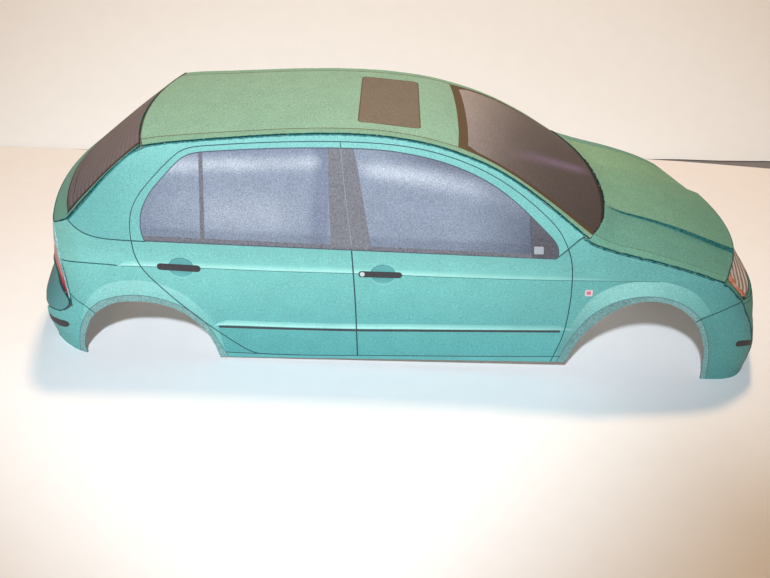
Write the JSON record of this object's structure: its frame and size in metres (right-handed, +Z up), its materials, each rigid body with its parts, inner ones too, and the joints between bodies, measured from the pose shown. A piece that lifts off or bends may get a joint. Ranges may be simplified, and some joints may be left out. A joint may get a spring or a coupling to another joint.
{
  "type": "card model of a hatchback body shell",
  "caption": "Printed card model of a five-door hatchback body shell, open underneath, with cut wheel arches and no wheels, standing on its bumper edges.",
  "frame": {"origin": "on the floor under the middle of the shell's bounding box", "axes": "+X towards the front of the car, +Y towards its left side, +Z up"},
  "size_m": [0.1649, 0.0672, 0.0495],
  "materials": {
    "printed_side_card": "printed on the outer face with doors, windows and trim, bare inside",
    "printed_roof_card": "printed green with a brown sunroof and a grey windscreen, bare inside",
    "printed_bonnet_card": "printed green, bare inside",
    "printed_rear_card": "printed with the rear window, tail lamps and bumper, bare inside",
    "printed_front_card": "printed with headlamps, grille and bumper, bare inside",
    "bare_card": "unprinted card, dull"
  },
  "bodies": {
    "root": {"right_side_panel": "printed_side_card", "left_side_panel": "printed_side_card", "roof_and_windscreen": "printed_roof_card", "rear_window_panel": "printed_rear_card", "tailgate_panel": "printed_rear_card", "rear_bumper_cap": "printed_rear_card", "rear_bumper_band": "printed_rear_card", "bonnet_centre": "printed_bonnet_card", "bonnet_shoulder_right": "printed_bonnet_card", "bonnet_shoulder_left": "printed_bonnet_card", "front_panel": "printed_front_card", "front_bumper": "printed_front_card", "roof_tab_right": "bare_card", "roof_tab_left": "bare_card", "bonnet_tab_right": "bare_card", "bonnet_tab_left": "bare_card", "rear_corner_tab_right": "bare_card", "rear_corner_tab_left": "bare_card", "front_corner_tab_right": "bare_card", "front_corner_tab_left": "bare_card"}
  },
  "joints": []
}
